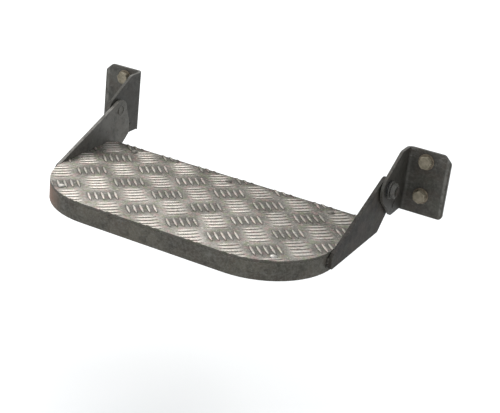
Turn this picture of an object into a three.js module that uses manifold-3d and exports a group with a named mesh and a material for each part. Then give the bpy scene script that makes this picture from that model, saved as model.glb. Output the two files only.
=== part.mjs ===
// A folding tailgate step. Two L-shaped brackets bolt to the rear face of a vehicle's crossmember.
// A chequer-plate tread on a bent flat-bar rim hangs between two cranked arms, and the arms turn on
// studs in the brackets, so that the step folds up against the tailgate.
// Millimetres, +Z up, -Y away from the vehicle, +X to the right of someone facing the step.
// The origin is midway between the brackets, on their back faces, level with the top of the tread.
import * as THREE from 'three';
import { mergeVertices } from 'three/addons/utils/BufferGeometryUtils.js';
import Module from 'manifold-3d';

const wasm = await Module();
wasm.setup();

// ---- driving dimensions -------------------------------------------------------------------------
const CLEARANCE = 0.3; // air between pieces that touch
const OVERSIZE = 1; // how far a cutting or joining solid runs past what it meets
const SMALL_ARC = 6; // segments in a rounded corner
const ROUND = 28; // segments in a full circle

const TREAD_HALF_WIDTH = 205;
const TREAD_FRONT = -294;
const TREAD_REAR = -82;
const TREAD_CORNER = 100; // front corner radius
const TREAD_REAR_CORNER = 8;
const TREAD_THICKNESS = 3;

const RIM_HEIGHT = 24;
const RIM_THICKNESS = 5;
const FRAME_SETBACK = 4; // the frame stops short of the tread's rear edge
const RIM_REAR = TREAD_REAR - FRAME_SETBACK;

const ANGLE_LEG = 25; // rear angle iron
const ANGLE_THICKNESS = 4;
const ANGLE_FILLET = 3;
const RIB_X = 78;
const RIB_THICKNESS = 4;
const RIB_HEIGHT = 20;

const ARM_THICKNESS = 5;
const ARM_INNER = TREAD_HALF_WIDTH + CLEARANCE;
const ARM_OUTER = ARM_INNER + ARM_THICKNESS;
const ARM_FRONT = -212;
const ARM_BOTTOM = -22;
const ARM_TOP_FRONT = -1;
const ARM_SLOPE = THREE.MathUtils.degToRad(22.5);
const ARM_NOSE_CUT = 6; // slanting cut across the top of the front end
const ARM_CORNER = 5;
const ARM_END_RADIUS = 15;
const HEEL_FRONT = -66; // where the underside turns up towards the bracket
const HEEL_REAR = -40; // the edge that rests on the stop pin
const HEEL_BELOW_PIN = 9; // how far the resting edge reaches either side of the pin's centre
const HEEL_ABOVE_PIN = 8;

const PIVOT_Y = -64;
const PIVOT_Z = 41;
const STUD_RADIUS = 6;
const STUD_FIT = 0.1; // radial clearance between stud and bush

const FRICTION_THICKNESS = 1.2;
const FRICTION_RADIUS = 13;
const WEB_THICKNESS = 4;
const WEB_INNER = ARM_OUTER + FRICTION_THICKNESS + 2 * CLEARANCE;
const WEB_OUTER = WEB_INNER + WEB_THICKNESS;
const WEB_NOSE_RADIUS = 20;
const WEB_TOP_RADIUS = 14;
const WEB_BOTTOM = -4;
const WEB_BOTTOM_FRONT = -42;
const WEB_TOP_FRONT = -30;
const BEND_RADIUS = 5;
const BUSH_RADIUS = 8;

const FLANGE_TOP = 84;
const FLANGE_BOTTOM = -7;
const FLANGE_CORNER = 6;
const FLANGE_OUTER = 275;
const FLANGE_CHAMFER = 10;

const MOUNT_BOLT_X = 241;
const MOUNT_BOLT_HEIGHTS = { upper: 69, lower: 20 };
const MOUNT_BOLT_RADIUS = 5;
const MOUNT_BOLT_REACH = 22; // how far the shank stands out behind the flange
const MOUNT_HOLE_RADIUS = 5.5;
const MOUNT_WASHER_RADIUS = 11;
const MOUNT_WASHER_THICKNESS = 2;
const MOUNT_HEAD_RADIUS = 9.24; // across the corners, 16 across the flats
const MOUNT_HEAD_HEIGHT = 6.4;

const SPRING_RADIUS = 11;
const SPRING_THICKNESS = 2; // over the dish
const SPRING_PLATE = 1;
const PIVOT_WASHER_RADIUS = 12;
const PIVOT_WASHER_THICKNESS = 2;
const PIVOT_NUT_RADIUS = 10.4; // across the corners, 18 across the flats
const PIVOT_NUT_HEIGHT = 6; // a thin lock nut
const STUD_SHOW = 1.5; // thread showing past the nut

const STOP_RADIUS = 5;
const STOP_Z = 9;
const STOP_SHOW = 0.8; // how far the pin stands proud of the bracket

const RIVET_SHANK = 2.4;
const RIVET_HEAD = 4.8;
const RIVET_DOME = 2.2;
const RIVET_TAIL = 3.6;
const RIVET_TAIL_HEIGHT = 2.4;
const RIVET_TAIL_EDGE = 0.6;
const RIVET_SIDES = 16;
const LUG_THICKNESS = 4;
const LUG_WIDTH = 24;
const LUG_DEPTH = 24;
const LUG_CORNER = 4;
const RIVET_HOLE = RIVET_SHANK + CLEARANCE;
const RIVETS = [
  { name: 'rivet_front_left', x: -157, y: -266.5 },
  { name: 'rivet_front_right', x: 157, y: -266.5 },
  { name: 'rivet_rear_left', x: -155, y: -99 },
  { name: 'rivet_rear_middle', x: 0, y: -99 },
  { name: 'rivet_rear_right', x: 155, y: -99 },
];

// ---- materials ----------------------------------------------------------------------------------
const finish = (color, roughness, metalness) => () =>
  new THREE.MeshStandardMaterial({ color, roughness, metalness });
const blackPaint = finish(0x24261f, 0.55, 0.1);
const treadAluminium = finish(0x9d9a95, 0.5, 0.8);
const zinc = finish(0x9a9a80, 0.45, 0.85);
const springSteel = finish(0x4a4a48, 0.4, 0.9);
const bronze = finish(0x8a6a3a, 0.45, 0.85);

const step = new THREE.Group();

function addPiece(name, geometry, material) {
  const mesh = new THREE.Mesh(geometry, material());
  mesh.name = name;
  step.add(mesh);
}

// ---- joining and cutting ------------------------------------------------------------------------
function toSolid(geometry) {
  const bare = geometry.clone();
  bare.deleteAttribute('normal');
  bare.deleteAttribute('uv');
  const merged = mergeVertices(bare);
  const vertProperties = new Float32Array(merged.attributes.position.array);
  const triVerts = new Uint32Array(merged.index.array);
  return new wasm.Manifold(new wasm.Mesh({ numProp: 3, vertProperties, triVerts }));
}

function toGeometry(solid) {
  const mesh = solid.getMesh();
  const geometry = new THREE.BufferGeometry();
  geometry.setAttribute('position', new THREE.BufferAttribute(mesh.vertProperties, 3));
  geometry.setIndex(new THREE.BufferAttribute(mesh.triVerts, 1));
  return geometry;
}

// ---- outlines and the solids swept from them ----------------------------------------------------
function arcPoints(x, y, radius, from, to, segments) {
  const points = [];
  for (let i = 0; i <= segments; i += 1) {
    const angle = from + ((to - from) * i) / segments;
    points.push(new THREE.Vector2(x + radius * Math.cos(angle), y + radius * Math.sin(angle)));
  }
  return points;
}

// A polygon with each corner rounded by its own radius: corners are [x, y, radius].
function roundedOutline(corners) {
  const points = [];
  corners.forEach(([x, y, radius], i) => {
    const corner = new THREE.Vector2(x, y);
    if (!radius) {
      points.push(corner);
      return;
    }
    const [px, py] = corners[(i + corners.length - 1) % corners.length];
    const [nx, ny] = corners[(i + 1) % corners.length];
    const back = new THREE.Vector2(px - x, py - y).normalize();
    const on = new THREE.Vector2(nx - x, ny - y).normalize();
    const half = Math.acos(THREE.MathUtils.clamp(back.dot(on), -1, 1)) / 2;
    const centre = corner.clone().addScaledVector(back.clone().add(on).normalize(), radius / Math.sin(half));
    const start = corner.clone().addScaledVector(back, radius / Math.tan(half)).sub(centre);
    const end = corner.clone().addScaledVector(on, radius / Math.tan(half)).sub(centre);
    const from = start.angle();
    const turn = Math.atan2(start.cross(end), start.dot(end));
    points.push(...arcPoints(centre.x, centre.y, radius, from, from + turn, SMALL_ARC));
  });
  return points;
}

function circleHole(x, y, radius, segments = ROUND) {
  return arcPoints(x, y, radius, 0, 2 * Math.PI, segments).slice(0, -1);
}

function sweep(outline, holes, depth) {
  const shape = new THREE.Shape(outline);
  shape.holes = holes.map((hole) => new THREE.Path(hole));
  return new THREE.ExtrudeGeometry(shape, { depth, bevelEnabled: false });
}

// An outline in plan (X, Y) swept upwards from a height.
function sweepUp(outline, holes, bottom, height) {
  return sweep(outline, holes, height).translate(0, 0, bottom);
}

// An outline seen from the side (Y, Z) swept along +X from a place.
function sweepAcross(outline, holes, from, width) {
  const turn = new THREE.Matrix4().makeBasis(
    new THREE.Vector3(0, 1, 0),
    new THREE.Vector3(0, 0, 1),
    new THREE.Vector3(1, 0, 0),
  );
  return sweep(outline, holes, width).applyMatrix4(turn).translate(from, 0, 0);
}

// The same solid on either side of the step: the near face is that many millimetres from the middle.
function sweepOnSide(side, outline, holes, near, width) {
  return sweepAcross(outline, holes, side > 0 ? near : -near - width, width);
}

function ring(outer, inner, thickness) {
  return sweep(circleHole(0, 0, outer), [circleHole(0, 0, inner)], thickness);
}

// A turned or hexagonal solid standing along +Z, laid along X so that it points outwards.
function pointOutwards(geometry, side, near) {
  return geometry.rotateY((side * Math.PI) / 2).translate(side * near, PIVOT_Y, PIVOT_Z);
}

// ---- tread and its frame ------------------------------------------------------------------------
const TREAD_BOTTOM = -TREAD_THICKNESS;
const FRAME_TOP = TREAD_BOTTOM - CLEARANCE;
const RIM_BOTTOM = FRAME_TOP - RIM_HEIGHT;
const CORNER_X = TREAD_HALF_WIDTH - TREAD_CORNER;
const CORNER_Y = TREAD_FRONT + TREAD_CORNER;
const CORNER_ARC = 14;

// The front of the step in plan, from the right side round to the left, inset from the tread's edge.
function frontCurve(inset) {
  const radius = TREAD_CORNER - inset;
  return [
    ...arcPoints(CORNER_X, CORNER_Y, radius, 0, -Math.PI / 2, CORNER_ARC),
    ...arcPoints(-CORNER_X, CORNER_Y, radius, -Math.PI / 2, -Math.PI, CORNER_ARC),
  ];
}

function makeTreadPlate() {
  const outline = [
    ...arcPoints(-TREAD_HALF_WIDTH + TREAD_REAR_CORNER, TREAD_REAR - TREAD_REAR_CORNER,
      TREAD_REAR_CORNER, Math.PI, Math.PI / 2, SMALL_ARC),
    ...arcPoints(TREAD_HALF_WIDTH - TREAD_REAR_CORNER, TREAD_REAR - TREAD_REAR_CORNER,
      TREAD_REAR_CORNER, Math.PI / 2, 0, SMALL_ARC),
    ...frontCurve(0),
  ];
  const holes = RIVETS.map(({ x, y }) => circleHole(x, y, RIVET_HOLE, RIVET_SIDES));
  addPiece('tread_plate', sweepUp(outline, holes, TREAD_BOTTOM, TREAD_THICKNESS), treadAluminium);
}

function makeRimBand() {
  const inner = TREAD_HALF_WIDTH - RIM_THICKNESS;
  const outline = [
    new THREE.Vector2(TREAD_HALF_WIDTH, RIM_REAR),
    ...frontCurve(0),
    new THREE.Vector2(-TREAD_HALF_WIDTH, RIM_REAR),
    new THREE.Vector2(-inner, RIM_REAR),
    ...frontCurve(RIM_THICKNESS).reverse(),
    new THREE.Vector2(inner, RIM_REAR),
  ];
  addPiece('rim_band', sweepUp(outline, [], RIM_BOTTOM, RIM_HEIGHT), blackPaint);
}

const ANGLE_HALF = TREAD_HALF_WIDTH - RIM_THICKNESS - CLEARANCE;
const ANGLE_REAR = RIM_REAR;
const ANGLE_FRONT = ANGLE_REAR - ANGLE_LEG;

function makeRearAngle() {
  const profile = [
    [ANGLE_REAR, FRAME_TOP, 0],
    [ANGLE_FRONT, FRAME_TOP, 0],
    [ANGLE_FRONT, FRAME_TOP - ANGLE_THICKNESS, 0],
    [ANGLE_REAR - ANGLE_THICKNESS, FRAME_TOP - ANGLE_THICKNESS, ANGLE_FILLET],
    [ANGLE_REAR - ANGLE_THICKNESS, FRAME_TOP - ANGLE_LEG, 0],
    [ANGLE_REAR, FRAME_TOP - ANGLE_LEG, 0],
  ];
  let angle = toSolid(sweepAcross(roundedOutline(profile), [], -ANGLE_HALF, 2 * ANGLE_HALF));
  for (const { x, y } of RIVETS.filter((rivet) => rivet.y > ANGLE_FRONT)) {
    const drill = sweepUp(
      circleHole(x, y, RIVET_HOLE, RIVET_SIDES),
      [],
      FRAME_TOP - ANGLE_THICKNESS - OVERSIZE,
      ANGLE_THICKNESS + 2 * OVERSIZE,
    );
    angle = angle.subtract(toSolid(drill));
  }
  addPiece('rear_angle', toGeometry(angle), blackPaint);
}

// Each rib stands on edge under the tread, from the rim to the rear angle, notched under its leg.
function makeRib(name, x) {
  const front = TREAD_FRONT + RIM_THICKNESS + CLEARANCE;
  const rear = ANGLE_REAR - ANGLE_THICKNESS - CLEARANCE;
  const notchFront = ANGLE_FRONT - CLEARANCE;
  const notchTop = FRAME_TOP - ANGLE_THICKNESS - ANGLE_FILLET - CLEARANCE;
  const bottom = FRAME_TOP - RIB_HEIGHT;
  const outline = [
    [front, FRAME_TOP, 0],
    [notchFront, FRAME_TOP, 0],
    [notchFront, notchTop, 0],
    [rear, notchTop, 0],
    [rear, bottom, 0],
    [front, bottom, 0],
  ];
  const rib = sweepAcross(roundedOutline(outline), [], x - RIB_THICKNESS / 2, RIB_THICKNESS);
  addPiece(name, rib, blackPaint);
}

// A lug welded inside each front corner of the rim carries a rivet; it points at the corner's middle.
function makeFrontLug(name, { x, y }) {
  const side = Math.sign(x);
  const outwards = Math.atan2(y - CORNER_Y, x - side * CORNER_X);
  const rivetReach = Math.hypot(x - side * CORNER_X, y - CORNER_Y);
  const rimInside = TREAD_CORNER - RIM_THICKNESS - CLEARANCE;
  const reach = Math.sqrt(rimInside ** 2 - (LUG_WIDTH / 2) ** 2);
  const outline = [
    [reach - LUG_DEPTH, -LUG_WIDTH / 2, LUG_CORNER],
    [reach, -LUG_WIDTH / 2, 0],
    [reach, LUG_WIDTH / 2, 0],
    [reach - LUG_DEPTH, LUG_WIDTH / 2, LUG_CORNER],
  ];
  const hole = circleHole(rivetReach, 0, RIVET_HOLE, RIVET_SIDES);
  const lug = sweepUp(roundedOutline(outline), [hole], FRAME_TOP - LUG_THICKNESS, LUG_THICKNESS);
  addPiece(name, lug.rotateZ(outwards).translate(side * CORNER_X, CORNER_Y, 0), blackPaint);
}

function makeRivet({ name, x, y }) {
  const under = FRAME_TOP - LUG_THICKNESS - CLEARANCE;
  const profile = [
    new THREE.Vector2(0, under - RIVET_TAIL_HEIGHT),
    new THREE.Vector2(RIVET_TAIL - RIVET_TAIL_EDGE, under - RIVET_TAIL_HEIGHT),
    new THREE.Vector2(RIVET_TAIL, under - RIVET_TAIL_HEIGHT / 2),
    new THREE.Vector2(RIVET_TAIL - RIVET_TAIL_EDGE, under),
    new THREE.Vector2(RIVET_SHANK, under),
    new THREE.Vector2(RIVET_SHANK, CLEARANCE),
    new THREE.Vector2(RIVET_HEAD, CLEARANCE),
  ];
  const dome = arcPoints(0, 0, 1, 0, Math.PI / 2, 4).slice(1, -1);
  profile.push(...dome.map((p) => new THREE.Vector2(RIVET_HEAD * p.x, CLEARANCE + RIVET_DOME * p.y)));
  profile.push(new THREE.Vector2(0, CLEARANCE + RIVET_DOME));
  const rivet = new THREE.LatheGeometry(profile, RIVET_SIDES).rotateX(Math.PI / 2).translate(x, y, 0);
  addPiece(name, rivet, zinc);
}

// ---- arms ---------------------------------------------------------------------------------------
// The arm is level along the tread, sweeps up in a hollow curve to a straight slope, ends in a round
// eye about the pivot, and has a heel below the eye that rests on the stop pin.
function armOutline() {
  const slope = new THREE.Vector2(Math.cos(ARM_SLOPE), Math.sin(ARM_SLOPE));
  const pivot = new THREE.Vector2(PIVOT_Y, PIVOT_Z);
  const eyeTop = pivot.clone().add(new THREE.Vector2(-slope.y, slope.x).multiplyScalar(ARM_END_RADIUS));
  const levelEnd = eyeTop.x - (eyeTop.y - ARM_TOP_FRONT) / Math.tan(ARM_SLOPE);
  const blend = levelEnd - ARM_FRONT;
  const hollow = new THREE.QuadraticBezierCurve(
    new THREE.Vector2(ARM_FRONT + ARM_NOSE_CUT, ARM_TOP_FRONT),
    new THREE.Vector2(levelEnd, ARM_TOP_FRONT),
    new THREE.Vector2(levelEnd, ARM_TOP_FRONT).addScaledVector(slope, blend),
  );
  const corners = roundedOutline([
    [ARM_FRONT, ARM_TOP_FRONT - ARM_NOSE_CUT, 0],
    [ARM_FRONT, ARM_BOTTOM, ARM_CORNER],
    [HEEL_FRONT, ARM_BOTTOM, ARM_CORNER],
    [HEEL_REAR, STOP_Z - HEEL_BELOW_PIN, ARM_CORNER],
    [HEEL_REAR, STOP_Z + HEEL_ABOVE_PIN, ARM_CORNER],
    [PIVOT_Y + ARM_END_RADIUS, PIVOT_Z, 0],
  ]);
  return [
    ...corners.slice(0, -1),
    ...arcPoints(PIVOT_Y, PIVOT_Z, ARM_END_RADIUS, 0, ARM_SLOPE + Math.PI / 2, 2 * SMALL_ARC),
    ...hollow.getPoints(2 * SMALL_ARC).reverse(),
  ];
}

function makeArm(name, side) {
  const hole = circleHole(PIVOT_Y, PIVOT_Z, STUD_RADIUS + CLEARANCE);
  addPiece(name, sweepOnSide(side, armOutline(), [hole], ARM_INNER, ARM_THICKNESS), blackPaint);
}

// ---- brackets -----------------------------------------------------------------------------------
// In plan a bracket is an L: a web beside the arm, bent outwards into a flange against the vehicle.
function bracketPlan(side) {
  const bendX = WEB_OUTER + BEND_RADIUS;
  const bendY = -WEB_THICKNESS - BEND_RADIUS;
  const front = PIVOT_Y - WEB_NOSE_RADIUS - OVERSIZE;
  const points = [
    new THREE.Vector2(WEB_INNER, front),
    new THREE.Vector2(WEB_OUTER, front),
    ...arcPoints(bendX, bendY, BEND_RADIUS, Math.PI, Math.PI / 2, SMALL_ARC),
    new THREE.Vector2(FLANGE_OUTER, -WEB_THICKNESS),
    new THREE.Vector2(FLANGE_OUTER, 0),
    ...arcPoints(bendX, bendY, BEND_RADIUS + WEB_THICKNESS, Math.PI / 2, Math.PI, SMALL_ARC),
  ];
  return points.map(({ x, y }) => new THREE.Vector2(side * x, y));
}

// From the side the web is deep at the flange and tapers to a nose about the pivot.
function webOutline() {
  const pivot = new THREE.Vector2(PIVOT_Y, PIVOT_Z);
  const touch = (x, y, way) => {
    const from = new THREE.Vector2(x, y).sub(pivot);
    return from.angle() + way * Math.acos(WEB_NOSE_RADIUS / from.length());
  };
  const top = touch(WEB_TOP_FRONT, FLANGE_TOP, 1);
  const bottom = touch(WEB_BOTTOM_FRONT, WEB_BOTTOM, -1);
  const corners = roundedOutline([
    [0, FLANGE_BOTTOM, 0],
    [0, FLANGE_TOP, 0],
    [WEB_TOP_FRONT, FLANGE_TOP, WEB_TOP_RADIUS],
    [PIVOT_Y + WEB_NOSE_RADIUS * Math.cos(top), PIVOT_Z + WEB_NOSE_RADIUS * Math.sin(top), 0],
    [PIVOT_Y + WEB_NOSE_RADIUS * Math.cos(bottom), PIVOT_Z + WEB_NOSE_RADIUS * Math.sin(bottom), 0],
    [WEB_BOTTOM_FRONT, WEB_BOTTOM, FLANGE_CORNER],
    [-WEB_THICKNESS - BEND_RADIUS, WEB_BOTTOM, 0],
    [-WEB_THICKNESS, FLANGE_BOTTOM, 0],
  ]);
  const noseAt = 2 + SMALL_ARC + 1;
  const nose = arcPoints(PIVOT_Y, PIVOT_Z, WEB_NOSE_RADIUS, top, bottom, 2 * SMALL_ARC);
  return [...corners.slice(0, noseAt), ...nose, ...corners.slice(noseAt + 2)];
}

function flangeOutline(side) {
  const inner = WEB_INNER - OVERSIZE;
  return roundedOutline([
    [side * inner, FLANGE_BOTTOM, 0],
    [side * FLANGE_OUTER, FLANGE_BOTTOM, FLANGE_CORNER],
    [side * FLANGE_OUTER, FLANGE_TOP - FLANGE_CHAMFER, FLANGE_CORNER],
    [side * (FLANGE_OUTER - FLANGE_CHAMFER), FLANGE_TOP, FLANGE_CORNER],
    [side * inner, FLANGE_TOP, 0],
  ]);
}

function drillAcross(y, z, radius) {
  return toSolid(sweepAcross(circleHole(y, z, radius), [], -FLANGE_OUTER, 2 * FLANGE_OUTER));
}

// Holes and outlines seen from the front (X, Z), swept back through the whole bracket.
function sweepBack(outline) {
  const front = PIVOT_Y - WEB_NOSE_RADIUS - 2 * OVERSIZE;
  return toSolid(sweep(outline, [], OVERSIZE - front).rotateX(Math.PI / 2).translate(0, OVERSIZE, 0));
}

function makeBracket(name, side) {
  const height = FLANGE_TOP - FLANGE_BOTTOM;
  const bent = toSolid(sweepUp(bracketPlan(side), [], FLANGE_BOTTOM, height));
  const sideView = toSolid(sweepOnSide(side, webOutline(), [], WEB_INNER - OVERSIZE, FLANGE_OUTER));
  let bracket = bent.intersect(sideView).intersect(sweepBack(flangeOutline(side)));
  bracket = bracket.subtract(drillAcross(PIVOT_Y, PIVOT_Z, BUSH_RADIUS + CLEARANCE));
  bracket = bracket.subtract(drillAcross(STOP_Y, STOP_Z, STOP_RADIUS + CLEARANCE));
  for (const z of Object.values(MOUNT_BOLT_HEIGHTS)) {
    bracket = bracket.subtract(sweepBack(circleHole(side * MOUNT_BOLT_X, z, MOUNT_HOLE_RADIUS)));
  }
  addPiece(name, toGeometry(bracket), blackPaint);
}

// ---- fasteners ----------------------------------------------------------------------------------
const STOP_Y = HEEL_REAR + CLEARANCE + STOP_RADIUS;

// A hexagonal head on a round shank, standing along +Z with the underside of its head at zero.
function hexBolt(headRadius, headHeight, shankRadius, shankLength) {
  const head = new THREE.CylinderGeometry(headRadius, headRadius, headHeight, 6)
    .rotateX(Math.PI / 2).translate(0, 0, headHeight / 2);
  const shank = new THREE.CylinderGeometry(shankRadius, shankRadius, shankLength + OVERSIZE, ROUND)
    .rotateX(Math.PI / 2).translate(0, 0, (OVERSIZE - shankLength) / 2);
  return toGeometry(toSolid(head).add(toSolid(shank)));
}

function makeMountFixing(sideName, side, height) {
  const x = side * MOUNT_BOLT_X;
  const z = MOUNT_BOLT_HEIGHTS[height];
  const washerBack = -WEB_THICKNESS - CLEARANCE;
  const headBack = washerBack - MOUNT_WASHER_THICKNESS - CLEARANCE;
  const washer = ring(MOUNT_WASHER_RADIUS, MOUNT_HOLE_RADIUS, MOUNT_WASHER_THICKNESS);
  const bolt = hexBolt(MOUNT_HEAD_RADIUS, MOUNT_HEAD_HEIGHT, MOUNT_BOLT_RADIUS, MOUNT_BOLT_REACH - headBack);
  const place = (geometry, y) => geometry.rotateX(Math.PI / 2).translate(x, y, z);
  addPiece(`${sideName}_${height}_mount_washer`, place(washer, washerBack), zinc);
  addPiece(`${sideName}_${height}_mount_bolt`, place(bolt, headBack), zinc);
}

// The stud is welded into the arm and turns in the bracket's bush; the nut clamps a dished spring
// washer against the bracket, so that the step stays where it is put.
function makePivot(sideName, side) {
  const frictionNear = ARM_OUTER + CLEARANCE;
  const springNear = WEB_OUTER + CLEARANCE;
  const washerNear = springNear + SPRING_THICKNESS + CLEARANCE;
  const nutNear = washerNear + PIVOT_WASHER_THICKNESS + CLEARANCE;
  const studEnd = nutNear + PIVOT_NUT_HEIGHT + STUD_SHOW;
  const bore = STUD_RADIUS + CLEARANCE;
  const friction = ring(FRICTION_RADIUS, bore, FRICTION_THICKNESS);
  const bush = ring(BUSH_RADIUS, STUD_RADIUS + STUD_FIT, WEB_THICKNESS);
  const dish = [
    new THREE.Vector2(bore, SPRING_THICKNESS - SPRING_PLATE),
    new THREE.Vector2(SPRING_RADIUS, 0),
    new THREE.Vector2(SPRING_RADIUS, SPRING_PLATE),
    new THREE.Vector2(bore, SPRING_THICKNESS),
    new THREE.Vector2(bore, SPRING_THICKNESS - SPRING_PLATE),
  ];
  const spring = new THREE.LatheGeometry(dish, ROUND).rotateX(Math.PI / 2);
  const washer = ring(PIVOT_WASHER_RADIUS, bore, PIVOT_WASHER_THICKNESS);
  const nut = sweep(circleHole(0, 0, PIVOT_NUT_RADIUS, 6), [circleHole(0, 0, bore)], PIVOT_NUT_HEIGHT);
  const stud = new THREE.CylinderGeometry(STUD_RADIUS, STUD_RADIUS, studEnd - ARM_INNER, ROUND)
    .rotateX(Math.PI / 2).translate(0, 0, (studEnd - ARM_INNER) / 2);
  addPiece(`${sideName}_friction_washer`, pointOutwards(friction, side, frictionNear), bronze);
  addPiece(`${sideName}_pivot_bush`, pointOutwards(bush, side, WEB_INNER), bronze);
  addPiece(`${sideName}_spring_washer`, pointOutwards(spring, side, springNear), springSteel);
  addPiece(`${sideName}_pivot_washer`, pointOutwards(washer, side, washerNear), blackPaint);
  addPiece(`${sideName}_pivot_nut`, pointOutwards(nut, side, nutNear), blackPaint);
  addPiece(`${sideName}_pivot_stud`, pointOutwards(stud, side, ARM_INNER), blackPaint);
}

function makeStopPin(name, side) {
  const length = WEB_OUTER + STOP_SHOW - ARM_INNER;
  const pin = sweepOnSide(side, circleHole(STOP_Y, STOP_Z, STOP_RADIUS), [], ARM_INNER, length);
  addPiece(name, pin, blackPaint);
}

// ---- the whole step -----------------------------------------------------------------------------
makeTreadPlate();
makeRimBand();
makeRearAngle();
makeRib('left_rib', -RIB_X);
makeRib('right_rib', RIB_X);
makeFrontLug('left_front_lug', RIVETS[0]);
makeFrontLug('right_front_lug', RIVETS[1]);
RIVETS.forEach(makeRivet);

for (const [sideName, side] of [['left', -1], ['right', 1]]) {
  makeArm(`${sideName}_arm`, side);
  makeBracket(`${sideName}_bracket`, side);
  makePivot(sideName, side);
  makeStopPin(`${sideName}_stop_pin`, side);
  makeMountFixing(sideName, side, 'upper');
  makeMountFixing(sideName, side, 'lower');
}

export default step;
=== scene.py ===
"""A folding tailgate step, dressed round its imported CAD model: a chequer-plate tread in a bent
flat-bar rim, hung between two cranked arms that turn in a pair of bolt-on brackets.
Metres, in the CAD frame: +X along the step, +Y towards the vehicle, +Z up."""
import math
import random

import bmesh
import bpy
from mathutils import Matrix, Vector, noise


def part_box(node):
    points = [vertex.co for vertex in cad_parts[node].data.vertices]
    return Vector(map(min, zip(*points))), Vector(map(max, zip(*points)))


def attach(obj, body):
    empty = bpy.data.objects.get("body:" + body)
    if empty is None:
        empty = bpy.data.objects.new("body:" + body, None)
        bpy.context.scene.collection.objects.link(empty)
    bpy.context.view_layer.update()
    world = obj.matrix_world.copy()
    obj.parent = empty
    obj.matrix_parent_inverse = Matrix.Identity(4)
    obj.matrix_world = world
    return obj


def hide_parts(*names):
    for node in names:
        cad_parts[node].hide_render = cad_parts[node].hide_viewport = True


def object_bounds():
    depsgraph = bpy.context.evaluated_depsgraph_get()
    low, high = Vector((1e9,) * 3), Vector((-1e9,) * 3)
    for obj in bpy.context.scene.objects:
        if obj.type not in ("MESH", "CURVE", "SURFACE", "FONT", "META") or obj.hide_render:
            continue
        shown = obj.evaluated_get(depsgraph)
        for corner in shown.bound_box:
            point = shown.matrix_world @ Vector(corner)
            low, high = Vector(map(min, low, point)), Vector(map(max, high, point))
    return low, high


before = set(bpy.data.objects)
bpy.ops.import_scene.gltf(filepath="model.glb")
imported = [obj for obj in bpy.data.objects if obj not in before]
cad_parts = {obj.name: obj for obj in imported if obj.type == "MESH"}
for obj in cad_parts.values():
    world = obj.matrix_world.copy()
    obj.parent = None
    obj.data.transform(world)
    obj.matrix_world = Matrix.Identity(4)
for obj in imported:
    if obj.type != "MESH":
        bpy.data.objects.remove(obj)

CAD_LOW, CAD_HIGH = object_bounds()
MM = 0.001
STEP = "folding_step"
MOUNT = "mounting_brackets"
SIDES = {"left": -1, "right": 1}

# ---- driving sizes --------------------------------------------------------------------------
WELD_DISTANCE = 0.01 * MM
SHARP_ANGLE = math.radians(30)
ROUND = 56  # sides of a turned piece

PATTERN_PITCH = 60 * MM  # the chequer pattern repeats this often along X and along Y
PATTERN_START = Vector((-129 * MM, -226 * MM))  # middle of one group of bars
PATTERN_COLUMNS = range(-3, 7)  # groups counted from there, enough to pass the tread's edges
PATTERN_ROWS = range(-3, 5)
BAR_SETS = ((0.0, 1), (0.5, -1))  # how far each set leads the pattern, and which diagonal it runs along
SET_POLISH_AND_SHEEN = (0.92, 0.40)  # how bright the two sets are painted: partly foot polish, partly a painted highlight on the first set
BARS_IN_GROUP = 5
BAR_SPACING = 8.7 * MM
BAR_LENGTH = 29 * MM
BAR_WIDTH = 5.2 * MM
BAR_HEIGHT = 1.3 * MM
BAR_LONG_CUTS = 12
BAR_CROSS_CUTS = 6
TREAD_CORNER = 100 * MM  # radius of the tread's two front corners in plan
TREAD_CORNER_CUTS = 14  # straight cuts that trim the bars to such a corner

HEAD_CHAMFER = math.radians(32)
THREAD_PITCH = 1.5 * MM
THREAD_DEPTH = 0.75 * MM
HOLE_RADIUS = 5.5 * MM  # mounting washers' hole
STUD_RADIUS = 6 * MM
SPRING_DISH = 1 * MM  # how far a spring washer's bore stands off from its outer edge
MOUNT_HEAD_HEIGHT = 6.4 * MM
MOUNT_SHANK_RADIUS = 5 * MM
RIVET_DOME = 2.2 * MM

SEAM_WELD_RADIUS = 2.2 * MM  # under the arms and at the rear angle's ends
ARM_FRONT_WELD_RADIUS = 2.5 * MM
STUD_WELD_RADIUS = 1.1 * MM
RIB_WELD_RADIUS = 1.8 * MM
STITCH_LENGTH = 34 * MM
STITCH_STARTS = (12 * MM, 82 * MM)  # behind the arm's front end
BEAD_RIPPLE = 1.9 * MM  # length of one ripple along a weld
BEAD_SIDES = 10
BEAD_STEP = BEAD_RIPPLE / 5  # length between two rings of a bead's mesh

# ---- where the finish is worn, and where highlight and shade are painted on -----------------
ARM_WEAR_AND_SHEEN = {"left": 0.35, "right": 0.06}  # how bright the arms' tops are painted: rubbed paint, and a painted highlight, stronger on the left
ARM_WEAR_AND_SHEEN_END = 50 * MM  # the rubbed paint and painted highlight stop this far short of the arm's rear end
FLANGE_WEAR = 0.3  # how far the paint is rubbed off the flanges' outer edges
RIM_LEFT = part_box("rim_band")[0].x
RIM_RUST_LENGTH = 70 * MM  # rust shows through the rim's paint this far from its left end
STRIP_X = CAD_HIGH.x - 4 * MM  # middle of the pale strip near each flange's outer edge
STRIP_FULL = 0.8 * MM  # it is palest this near to its middle
STRIP_FADED = 3.2 * MM  # and gone this far from it
SCUFFS_START = CAD_HIGH.z - 26 * MM  # the flanges' tops are scuffed from here
SCUFFS_FULL = CAD_HIGH.z - 14 * MM
WEB_SHADE_FADE = 20 * MM  # a bracket's web takes its darkest painted shade this far inboard of the strip

# ---- camera ---------------------------------------------------------------------------------
CAMERA_AZIMUTH = math.radians(26.1)
CAMERA_ELEVATION = math.radians(23.5)
CAMERA_ROLL = math.radians(6.6)  # the camera is held slightly askew
CAMERA_AIM = Vector((63 * MM, -154 * MM, 0))
CAMERA_DISTANCE = 1.534
CAMERA_LENS = 84.6  # millimetres on a sensor 36 mm wide


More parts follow.
